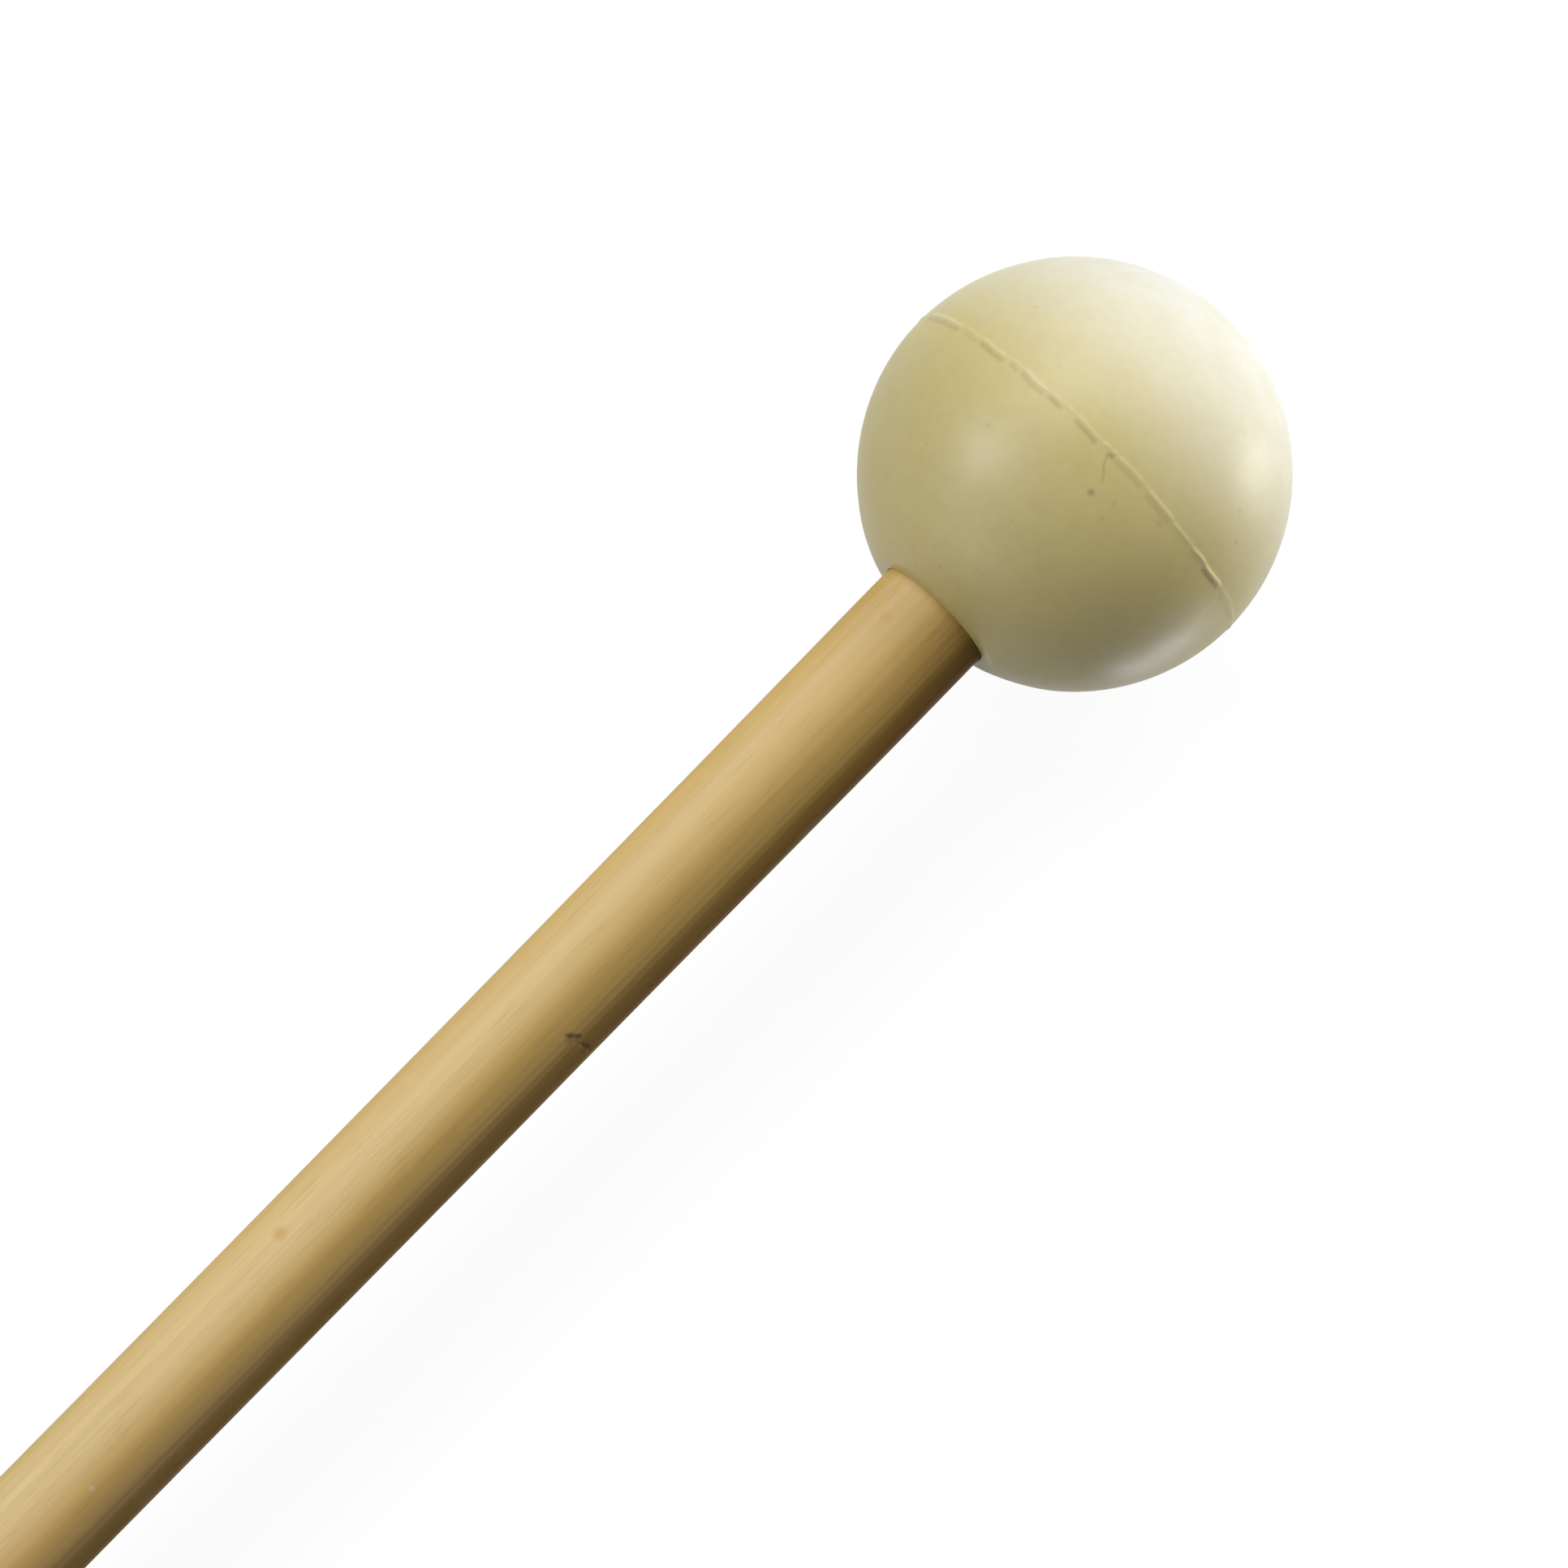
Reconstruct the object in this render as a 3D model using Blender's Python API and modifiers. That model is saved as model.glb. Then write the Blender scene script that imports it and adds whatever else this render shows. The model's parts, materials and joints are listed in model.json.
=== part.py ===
"""A xylophone mallet: a moulded rubber ball glued on the end of a plain wooden dowel.

Units are metres and +Z is up. The mallet lies at rest on z = 0, which it touches with the mould
seam of its ball and with the rim of the dowel's free end. The head points along +X, and the origin
is at the bottom centre of the bounding box.

Every piece is a turned shape. It is drawn upright, on its own Z axis, with the centre of the ball at
z = 0 and the head's free end at the top. One empty then lays the three pieces down together.
"""

import math

import bpy

# The ball, moulded in two halves that leave a thin seam round its middle.
HEAD_DIAMETER = 0.0280
SEAM_WIDTH = 0.0005
SEAM_HEIGHT = 0.0001

# The dowel, which runs past the centre of the ball inside it.
SHAFT_DIAMETER = 0.0080
SHAFT_LENGTH = 0.3500
SEATED_PAST_CENTRE = 0.0060
SEATED_CHAMFER = 0.0006
BUTT_ROUNDING = 0.0008

# The blind hole in the ball, with a rounded mouth and a drill point.
BORE_CLEARANCE = 0.0003
BORE_END_CLEARANCE = 0.0004
LIP_RADIUS = 0.0004
DRILL_POINT_ANGLE = math.radians(118)

# The cured glue that fills the hole round the dowel, up to just inside the mouth.
GLUE_GAP = 0.00005
GLUE_RECESS = 0.0010

# How finely the round shapes are cut.
SCREW_STEPS = 64
BALL_ARC_STEP = math.radians(5.6)
SMALL_ARC_STEP = math.radians(18)
MERGE_DISTANCE = 0.00001
SHARP_ANGLE = math.radians(32)

HEAD_RADIUS = HEAD_DIAMETER / 2
SHAFT_RADIUS = SHAFT_DIAMETER / 2
BORE_RADIUS = SHAFT_RADIUS + BORE_CLEARANCE
BORE_SHOULDER_Z = SEATED_PAST_CENTRE + BORE_END_CLEARANCE
BUTT_Z = SEATED_PAST_CENTRE - SHAFT_LENGTH

COLLECTION_NAME = "xylophone_mallet"
RUBBER = ("moulded_rubber", (0.56, 0.50, 0.30, 1.0), 0.52)
WOOD = ("pale_wood", (0.62, 0.45, 0.22, 1.0), 0.42)
GLUE = ("cured_glue", (0.50, 0.33, 0.12, 1.0), 0.30)


def clear_scene():
    for obj in list(bpy.data.objects):
        bpy.data.objects.remove(obj)


def make_material(name, colour, roughness):
    material = bpy.data.materials.new(name)
    material.use_nodes = True
    shader = material.node_tree.nodes["Principled BSDF"]
    shader.inputs["Base Color"].default_value = colour
    shader.inputs["Roughness"].default_value = roughness
    shader.inputs["Metallic"].default_value = 0.0
    material.diffuse_color = colour
    return material


def arc(centre, radius, start, end, largest_step):
    """Points round a circle, as (distance from the axis, height). Angles run from +Z towards +X."""
    count = max(1, math.ceil(abs(end - start) / largest_step))
    points = []
    for i in range(count + 1):
        angle = start + (end - start) * i / count
        points.append((centre[0] + radius * math.sin(angle), centre[1] + radius * math.cos(angle)))
    return points


def drill_point_height(radius):
    """Height of a drill point's cone over its shoulder."""
    return radius / math.tan(DRILL_POINT_ANGLE / 2)


def lip_centre():
    """Centre of the rounding that meets both the ball's surface and the wall of the hole."""
    x = BORE_RADIUS + LIP_RADIUS
    return x, -math.sqrt((HEAD_RADIUS - LIP_RADIUS) ** 2 - x**2)


def head_profile():
    """From the pole down over the seam to the mouth, then up inside to the drill point."""
    middle = (0.0, 0.0)
    seam = math.radians(90)
    half_foot = SEAM_WIDTH / 2 / HEAD_RADIUS
    half_crest = half_foot / 3
    lip_x, lip_z = lip_centre()
    lip_start = math.atan2(lip_x, lip_z)

    upper = arc(middle, HEAD_RADIUS, 0.0, seam - half_foot, BALL_ARC_STEP)
    crest = arc(middle, HEAD_RADIUS + SEAM_HEIGHT, seam - half_crest, seam + half_crest, BALL_ARC_STEP)
    lower = arc(middle, HEAD_RADIUS, seam + half_foot, lip_start, BALL_ARC_STEP)
    lip = arc((lip_x, lip_z), LIP_RADIUS, lip_start, math.radians(270), SMALL_ARC_STEP)
    drill_point = [
        (BORE_RADIUS, BORE_SHOULDER_Z),
        (0.0, BORE_SHOULDER_Z + drill_point_height(BORE_RADIUS)),
    ]
    return upper + crest + lower + lip[1:] + drill_point


def shaft_profile():
    """From the chamfered end inside the ball down to the rounded butt."""
    butt_centre = (SHAFT_RADIUS - BUTT_ROUNDING, BUTT_Z + BUTT_ROUNDING)
    butt = arc(butt_centre, BUTT_ROUNDING, math.radians(90), math.radians(180), SMALL_ARC_STEP)
    return [
        (0.0, SEATED_PAST_CENTRE),
        (SHAFT_RADIUS - SEATED_CHAMFER, SEATED_PAST_CENTRE),
        (SHAFT_RADIUS, SEATED_PAST_CENTRE - SEATED_CHAMFER),
        *butt,
        (0.0, BUTT_Z),
    ]


def glue_profile():
    """A cup: its outside follows the hole and its inside the dowel, each a small gap away."""
    outer_x = BORE_RADIUS - GLUE_GAP
    inner_x = SHAFT_RADIUS + GLUE_GAP
    rim_z = lip_centre()[1] + GLUE_RECESS
    lowered = GLUE_GAP / math.sin(DRILL_POINT_ANGLE / 2)
    top_z = BORE_SHOULDER_Z + drill_point_height(BORE_RADIUS) - lowered
    corner = GLUE_GAP * math.tan(math.radians(22.5))
    return [
        (0.0, top_z),
        (outer_x, top_z - drill_point_height(outer_x)),
        (outer_x, rim_z),
        (inner_x, rim_z),
        (inner_x, SEATED_PAST_CENTRE - SEATED_CHAMFER + corner),
        (SHAFT_RADIUS - SEATED_CHAMFER + corner, SEATED_PAST_CENTRE + GLUE_GAP),
        (0.0, SEATED_PAST_CENTRE + GLUE_GAP),
    ]


def turned(name, profile, finish, collection, stand):
    """One closed piece, turned from a profile that runs down its outer side."""
    outline = bpy.data.meshes.new(name + "_outline")
    points = [(x, 0.0, z) for x, z in profile]
    edges = [(i, i + 1) for i in range(len(points) - 1)]
    outline.from_pydata(points, edges, [])
    obj = bpy.data.objects.new(name, outline)
    collection.objects.link(obj)

    screw = obj.modifiers.new("Turn", "SCREW")
    screw.axis = "Z"
    screw.steps = SCREW_STEPS
    screw.render_steps = SCREW_STEPS
    screw.use_merge_vertices = True
    screw.merge_threshold = MERGE_DISTANCE

    graph = bpy.context.evaluated_depsgraph_get()
    mesh = bpy.data.meshes.new_from_object(obj.evaluated_get(graph))
    mesh.name = name
    mesh.shade_smooth()
    mesh.set_sharp_from_angle(angle=SHARP_ANGLE)
    mesh.materials.append(make_material(*finish))
    obj.modifiers.clear()
    obj.data = mesh
    bpy.data.meshes.remove(outline)

    # Half a step round puts a flat, not a row of corners, on the surface that the mallet lies on.
    obj.rotation_euler = (0.0, 0.0, math.pi / SCREW_STEPS)
    obj.parent = stand
    return obj


def resting_tilt():
    """Angle of the axis over the ground when the seam and the butt's rim both touch it."""
    flat = math.cos(math.pi / SCREW_STEPS)
    drop = (HEAD_RADIUS + SEAM_HEIGHT - SHAFT_RADIUS) * flat
    return math.atan2(drop, -BUTT_Z - BUTT_ROUNDING)


def lay_down(stand, pieces):
    """Tips the upright mallet over and brings the bottom centre of its box to the origin."""
    stand.rotation_euler = (0.0, math.radians(90) - resting_tilt(), 0.0)
    bpy.context.view_layer.update()
    corners = [piece.matrix_world @ vertex.co for piece in pieces for vertex in piece.data.vertices]
    low = [min(corner[axis] for corner in corners) for axis in range(3)]
    high = [max(corner[axis] for corner in corners) for axis in range(3)]
    stand.location = (-(low[0] + high[0]) / 2, -(low[1] + high[1]) / 2, -low[2])
    bpy.context.view_layer.update()
    return [top - bottom for bottom, top in zip(low, high)]


def main():
    clear_scene()
    collection = bpy.data.collections.new(COLLECTION_NAME)
    bpy.context.scene.collection.children.link(collection)
    stand = bpy.data.objects.new("resting_pose", None)
    collection.objects.link(stand)
    pieces = [
        turned("head", head_profile(), RUBBER, collection, stand),
        turned("shaft", shaft_profile(), WOOD, collection, stand),
        turned("glue_bond", glue_profile(), GLUE, collection, stand),
    ]
    size = lay_down(stand, pieces)
    print("size in mm:", " x ".join(f"{1000 * side:.2f}" for side in size))
    print("tilt in degrees:", round(math.degrees(resting_tilt()), 4))
    print("ball centre:", tuple(round(value, 6) for value in stand.location))


main()
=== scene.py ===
import json
import math
import random

import bpy
import numpy as np
from mathutils import Matrix, Vector


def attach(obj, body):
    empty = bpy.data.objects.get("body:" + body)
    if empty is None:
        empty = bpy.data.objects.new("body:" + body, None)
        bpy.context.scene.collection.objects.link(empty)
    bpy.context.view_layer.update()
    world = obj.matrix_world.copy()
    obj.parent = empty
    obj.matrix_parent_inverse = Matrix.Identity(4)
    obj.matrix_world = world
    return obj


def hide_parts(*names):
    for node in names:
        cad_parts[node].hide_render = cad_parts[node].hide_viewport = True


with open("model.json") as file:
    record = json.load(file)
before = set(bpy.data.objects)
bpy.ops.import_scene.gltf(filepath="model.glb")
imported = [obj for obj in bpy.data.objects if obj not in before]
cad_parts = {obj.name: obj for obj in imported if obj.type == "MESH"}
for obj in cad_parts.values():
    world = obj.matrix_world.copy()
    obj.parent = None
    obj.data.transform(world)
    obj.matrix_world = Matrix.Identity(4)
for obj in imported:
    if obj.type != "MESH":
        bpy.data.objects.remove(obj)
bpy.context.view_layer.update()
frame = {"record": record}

# Lengths are metres. Each piece is built along its own Z axis, which runs up the dowel to the ball's
# free end, with the ball's centre at zero. The side that the camera sees lies at SEEN_AZIMUTH round
# that axis, and the "right" of the seen side lies a quarter turn further on.
MM = 0.001
BUTT_TO_CENTRE = 0.344
SEEN_AZIMUTH = math.radians(11.7)
SEEN_TILT = math.radians(12.0)
RIGHT_SIDE = (-math.sin(SEEN_AZIMUTH), math.cos(SEEN_AZIMUTH), 0)

# The ball, with a narrow flat ring round the mouth of its blind hole.
BALL_RADIUS = 14.0 * MM
MOUTH_RADIUS = 4.105 * MM
MOUTH_PLANE = -13.04 * MM
MOUTH_PLANE_SOFTNESS = 0.05 * MM
LIP_RADIUS = 0.08 * MM
LIP_POINTS = 6
MOUTH_COLLAR = 1.2 * MM
COLLAR_STEP = 0.3 * MM
BORE_RADIUS = 4.30 * MM
BORE_RINGS = (-6 * MM, 0.0)
BORE_SHOULDER = 6.4 * MM
DRILL_POINT_ANGLE = math.radians(118)
DRILL_POINT_HEIGHT = BORE_RADIUS / math.tan(DRILL_POINT_ANGLE / 2)

# The hole sits this far to the right of the axis, so slightly to its left. The ball's skin starts to
# follow it at one depth under the centre and has all of it at another.
SIDE_SHIFT = -0.13 * MM
SHIFT_START = 10.5 * MM
SHIFT_END = 12.8 * MM

# The dowel.
DOWEL_RADIUS = 4.0 * MM
DOWEL_TOP = 6.0 * MM
DOWEL_BUTT = -BUTT_TO_CENTRE
TOP_CHAMFER = 0.6 * MM
TOP_RING_RADIUS = 1.8 * MM
BUTT_ROUNDING = 0.8 * MM
BUTT_ARC_POINTS = 9
BUTT_FACE_RINGS = 12

# The cured glue. It keeps its gap to the rubber, and to the dowel where that is thickest.
GLUE_GAP = 0.03 * MM
DOWEL_SWELL = 0.07 * MM
GLUE_RIM = -11.0 * MM
GLUE_COLUMNS = 96

# Rings close on the axis at this radius, and edges sharper than this angle stay crisp.
TIP_RADIUS = 0.02 * MM
SHARP_ANGLE = math.radians(40)

# Pixels of the photograph to a metre, at the ball and along the dowel, where the surface that shows
# lies this far from the axis.
BALL_RADIUS_IN_PIXELS = 268
BALL_SCALE = BALL_RADIUS_IN_PIXELS / BALL_RADIUS
DOWEL_SCALE = 19290
SEEN_DOWEL_RADIUS = 3.92 * MM

# Seeds of the random unevenness.
BALL_SEED = 11
DOWEL_SEED = 23
GLUE_SEED = 5


# Meshes

def local_frame():
    """The matrix that takes a piece from its own axis to its place on the CAD model."""
    mount = frame["record"]["mounts"][0]
    axis = -Vector(mount["axis"]).normalized()
    centre = Vector(mount["pos_m"]) + axis * BUTT_TO_CENTRE
    side = Vector((0, -1, 0))
    up = side.cross(axis)
    turn = Matrix((up, side, axis)).transposed()
    return Matrix.Translation(centre) @ turn.to_4x4()


PLACE = local_frame()


def on_seen_side(right, out, z):
    """The point at a height that lies this far to the right and out towards the viewer."""
    azimuth = SEEN_AZIMUTH + math.atan2(right, out)
    across = math.hypot(right, out)
    return np.array((across * math.cos(azimuth), across * math.sin(azimuth), z))


def seen_on_ball(right, toward_head):
    """The point of the ball that the photograph shows this many pixels from its centre."""
    right = right / BALL_SCALE
    toward_head = toward_head / BALL_SCALE
    height = math.sqrt(BALL_RADIUS**2 - right**2 - toward_head**2)
    z = toward_head * math.cos(SEEN_TILT) - height * math.sin(SEEN_TILT)
    out = toward_head * math.sin(SEEN_TILT) + height * math.cos(SEEN_TILT)
    return on_seen_side(right, out, z)


def seen_on_dowel(right, toward_head):
    """The point of the dowel that the photograph shows this many pixels from the ball's centre."""
    right = right / DOWEL_SCALE
    out = math.sqrt(SEEN_DOWEL_RADIUS**2 - right**2)
    z = (toward_head / DOWEL_SCALE - out * math.sin(SEEN_TILT)) / math.cos(SEEN_TILT)
    return on_seen_side(right, out, z)


def slide_right(points, distance):
    """Moves points to the right, by one distance or by one for each ring or point."""
    points[..., 0] += distance * RIGHT_SIDE[0]
    points[..., 1] += distance * RIGHT_SIDE[1]


def graded(start, end, spacing):
    """Values from start to end whose steps follow spacing(value)."""
    values = [start]
    while values[-1] < end:
        values.append(values[-1] + spacing(values[-1]))
    scale = (end - start) / (values[-1] - start)
    return np.array([start + (value - start) * scale for value in values])


def in_bands(place, bands, usual):
    """The spacing of the first band (from, to, spacing) that holds a place, or else the usual one."""
    for start, end, spacing in bands:
        if start < place < end:
            return spacing
    return usual


def columns_round(start, bands, usual, radius):
    """Directions round the axis for a full turn. Start and bands count from the seen side's middle."""
    def spacing(turn):
        return in_bands(turn, bands, usual) / radius

    return graded(start, start + 2 * math.pi, spacing)[:-1] + SEEN_AZIMUTH


def smooth_step(values, low, high):
    share = np.clip((values - low) / (high - low), 0, 1)
    return share * share * (3 - 2 * share)


def held_over(values, floor, softness):
    """The values, softly kept from falling below a floor."""
    return floor + softness * np.logaddexp(0, (values - floor) / softness)


def unevenness(rng, azimuth, along, height, waves, longest, shortest):
    """Smooth seeded waves over a turned surface, of about this height and between these lengths."""
    total = np.zeros(np.broadcast(azimuth, along).shape)
    for _ in range(waves):
        length = shortest * (longest / shortest) ** rng.random()
        turns = round(2 * math.pi * BALL_RADIUS / length * rng.random())
        phase = 2 * math.pi * rng.random()
        total += np.cos(turns * azimuth + 2 * math.pi * along / length * rng.uniform(-1, 1) + phase)
    return height * (total / math.sqrt(waves))


def near_line(points, places, width):
    """1 on a line through these places, falling off smoothly over width."""
    nearest = np.full(points.shape[:-1], np.inf)
    for a, b in zip(places, places[1:]):
        along = b - a
        share = np.clip(((points - a) @ along) / (along @ along), 0, 1)
        gap = np.linalg.norm(points - a - share[..., None] * along, axis=-1)
        nearest = np.minimum(nearest, gap)
    return np.exp(-((nearest / width) ** 2))


def near_point(points, place, width):
    return np.exp(-((np.linalg.norm(points - place, axis=-1) / width) ** 2))


def arc(centre_x, centre_z, radius, start, end, count):
    """Points round a circle, with angles from +Z towards +X."""
    angles = np.linspace(start, end, count)
    return np.stack([centre_x + radius * np.sin(angles), centre_z + radius * np.cos(angles)], axis=1)


def smooth_curve(x, xs, ys):
    """A smooth curve through given points: cubic Hermite with slopes of finite differences."""
    slopes = np.gradient(ys, xs)
    i = np.clip(np.searchsorted(xs, x) - 1, 0, len(xs) - 2)
    span = xs[i + 1] - xs[i]
    t = (x - xs[i]) / span
    a = 2 * t**3 - 3 * t**2 + 1
    b = t**3 - 2 * t**2 + t
    c = -2 * t**3 + 3 * t**2
    d = t**3 - t**2
    return a * ys[i] + b * span * slopes[i] + c * ys[i + 1] + d * span * slopes[i + 1]


def turned_points(profile, azimuths):
    """Rings of points from a profile of (distance from the axis, height) rows."""
    radius = profile[:, 0, None]
    height = np.broadcast_to(profile[:, 1, None], (len(profile), len(azimuths)))
    return np.stack([radius * np.cos(azimuths), radius * np.sin(azimuths), height], axis=-1)


def grid_faces(rows, columns):
    """Quads over rows of points that close round into rings."""
    index = np.arange(rows * columns).reshape(rows, columns)
    after = np.roll(index, -1, axis=1)
    quads = np.stack([index[:-1], index[1:], after[1:], after[:-1]], axis=-1)
    return quads.reshape(-1, 4)


def ring_object(name, points, marks=None):
    """A closed piece from rings of points, shaped (rows, columns, 3). The end rings close on a point.

    marks holds named values from 0 to 1 for each point, which the piece's material reads.
    """
    rows, columns, _ = points.shape
    first = rows * columns
    ends = np.stack([points[0].mean(0), points[-1].mean(0)])
    vertices = np.concatenate([points.reshape(-1, 3), ends])
    start_ring = np.arange(columns)
    last_ring = start_ring + (rows - 1) * columns
    caps = [(first, int(a), int(b)) for a, b in zip(start_ring, np.roll(start_ring, -1))]
    caps += [(first + 1, int(b), int(a)) for a, b in zip(last_ring, np.roll(last_ring, -1))]
    faces = grid_faces(rows, columns).tolist() + caps
    mesh = bpy.data.meshes.new(name)
    mesh.from_pydata(vertices.tolist(), [], faces)
    for mark, values in (marks or {}).items():
        flat = np.concatenate([values.ravel(), [0.0, 0.0]]).astype(np.float32)
        mesh.attributes.new(mark, "FLOAT", "POINT").data.foreach_set("value", flat)
    mesh.shade_smooth()
    mesh.set_sharp_from_angle(angle=SHARP_ANGLE)
    mesh.transform(PLACE)
    piece = bpy.data.objects.new(name, mesh)
    bpy.context.scene.collection.objects.link(piece)
    return piece


# The flash of the mould on the seen side: from and to in degrees round the axis, its height in mm, and
# how much painted shadow lies along its foot on the handle's side.
SEEN_FLASH = [
    (-78.0, -57.0, 0.042, 0.42), (-54.5, -47.5, 0.024, 0.22), (-46.5, -36.5, 0.036, 0.50),
    (-34.0, -31.0, 0.022, 0.38), (-29.5, -20.8, 0.044, 0.45), (-19.4, -14.8, 0.012, 0.66),
    (-13.5, -11.0, 0.024, 0.05), (-9.8, -1.6, 0.022, 0.62), (-0.5, 1.8, 0.036, 0.08),
    (2.3, 4.4, 0.030, 0.85), (4.8, 14.6, 0.026, 0.38), (17.2, 27.5, 0.042, 0.36),
    (28.5, 37.0, 0.033, 0.10), (38.3, 45.2, 0.056, 0.20), (45.6, 55.6, 0.082, 1.00),
    (59.0, 66.0, 0.028, 0.24), (67.5, 78.0, 0.024, 0.24),
]
# The random runs of flash round the rest of the ball, in the same units, and the gaps between them.
# They start between the first two places, and none reaches past the limit.
HIDDEN_START = 80.0
HIDDEN_END = 280.0
HIDDEN_LIMIT = 281.0
HIDDEN_LENGTHS = (2.5, 12.0)
HIDDEN_HEIGHTS = (0.02, 0.05)
# Painted shadow at the foot of the runs round the rest of the ball.
HIDDEN_SHADE = (0.0, 0.5)
HIDDEN_GAPS = (0.4, 3.0)
# How far the flash lies from the seam's plane, in mm, at degrees round the axis. Degrees run from
# FIRST_DEGREE to a full turn past it.
SEAM_PATH = [
    (-82, 0.05), (-65, 0.03), (-48, -0.04), (-40, -0.14), (-32, -0.04), (-25, -0.24), (-17, -0.10),
    (-9, -0.14), (0, -0.20), (9, -0.09), (17, -0.16), (25, -0.25), (35, -0.31), (42, -0.22),
    (48, -0.26), (56, -0.12), (65, 0.06), (80, 0.05), (278, 0.05),
]
FIRST_DEGREE = -82.5
SEAM_TILT = math.radians(0.7)
# The seam's least height in mm, its width, how far a run slants, how softly it ends in degrees, and the
# height at which the flash's painted highlight is full.
FLASH_FLOOR = 0.013
FLASH_HALF_WIDTH = 0.110 * MM
FLASH_STEP = 0.045 * MM
FLASH_END_SOFTNESS = 0.7
FLASH_HIGHLIGHT_HEIGHT = 0.060 * MM
# The painted shadow's distance under the seam, by what share of it the deepest shadow lies closer, and its
# width.
SHADE_BELOW_SEAM = 0.37 * MM
SHADE_RISE = 0.32
SHADE_HALF_WIDTH = 0.115 * MM

# Unevenness of the seam and of the skin: height, number of waves, longest and shortest wave.
SEAM_WAVES = (0.012 * MM, 6, 20 * MM, 4 * MM)
SKIN_WAVES = [(0.012 * MM, 10, 30 * MM, 8 * MM), (0.0025 * MM, 24, 6 * MM, 2 * MM)]
MOUTH_FADE = 1.5 * MM

# A thin scratch under the seam, darkened with painted shade, and small pits, in the photograph's pixels
# from the ball's centre. A pit also has its radius and depth in mm.
SCRATCH = [(13, 50), (13.5, 44), (15, 38), (18, 32), (22, 28), (27, 22), (30.5, 16)]
SCRATCH_HALF_WIDTH = 0.09 * MM
SCRATCH_DEPTH = 0.015 * MM
SCRATCH_SHADE = 0.50
PITS = [(30, -2, 0.17, 0.03), (115, 28, 0.12, 0.03), (59, 9.6, 0.09, 0.02)]

# How finely the ball is cut: bands of rings along its axis and of columns round it, each from, to and
# the distance between points, and the distance elsewhere.
FIRST_RING_ANGLE = 0.004
BALL_RING_BANDS = [
    (-0.6 * MM, 0.6 * MM, 0.045 * MM), (-2.4 * MM, 0.0, 0.09 * MM),
    (-BALL_RADIUS, -12.5 * MM, 0.12 * MM),
]
BALL_RING_SPACING = 0.42 * MM
BALL_COLUMN_START = math.radians(-82)
BALL_COLUMN_BANDS = [
    (math.radians(1), math.radians(9), 0.10 * MM), (math.radians(-90), math.radians(82), 0.17 * MM),
]
BALL_COLUMN_SPACING = 0.30 * MM


def flash_runs(rng):
    """The listed runs of flash on the seen side, with seeded ones round the rest of the ball."""
    runs = list(SEEN_FLASH)
    place = HIDDEN_START
    while place < HIDDEN_END:
        length = rng.uniform(*HIDDEN_LENGTHS)
        end = min(place + length, HIDDEN_LIMIT)
        runs.append((place, end, rng.uniform(*HIDDEN_HEIGHTS), rng.uniform(*HIDDEN_SHADE)))
        place += length + rng.uniform(*HIDDEN_GAPS)
    return runs


def along_seam(rng, azimuth):
    """The flash's height and step up or down in metres, and the share of painted shadow at its foot."""
    turn = (azimuth - SEEN_AZIMUTH - math.radians(FIRST_DEGREE)) % (2 * math.pi)
    turn = np.degrees(turn) + FIRST_DEGREE
    path = np.array(SEAM_PATH)
    height = np.full(azimuth.shape, FLASH_FLOOR)
    painted_shade = np.zeros(azimuth.shape)
    step = np.zeros(azimuth.shape)
    for start, end, top, run_shade in flash_runs(rng):
        middle = (start + end) / 2
        inside = (turn > start) & (turn < end)
        slant = (turn - middle) / (end - start) * 2 * math.copysign(FLASH_STEP, middle)
        step = np.where(inside, slant, step)
        rise = smooth_step(turn, start - FLASH_END_SOFTNESS, start + FLASH_END_SOFTNESS)
        fall = 1 - smooth_step(turn, end - FLASH_END_SOFTNESS, end + FLASH_END_SOFTNESS)
        height = np.maximum(height, top * rise * fall)
        painted_shade = np.maximum(painted_shade, run_shade * rise * fall)
    return height * MM, step + np.interp(turn, path[:, 0], path[:, 1]) * MM, painted_shade


def seam_marks(rng, azimuths, along):
    """What the seam does to the skin: its lift in metres, and the shares of painted highlight on the flash
    and of painted shadow at its foot.
    """
    seam = math.tan(SEAM_TILT) * -BALL_RADIUS * np.sin(azimuths - SEEN_AZIMUTH)
    seam = seam + unevenness(rng, azimuths, np.zeros(1), *SEAM_WAVES)
    height, step, painted_shade = along_seam(rng, azimuths)
    from_seam = along - (seam + step)
    lift = height * np.exp(-((from_seam / FLASH_HALF_WIDTH) ** 2) / 2)
    below = SHADE_BELOW_SEAM * (1 - SHADE_RISE * painted_shade**4)
    foot = np.exp(-(((from_seam + below) / SHADE_HALF_WIDTH) ** 2) / 2)
    return lift, np.clip(lift / FLASH_HIGHLIGHT_HEIGHT, 0, 1), painted_shade * foot


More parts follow.
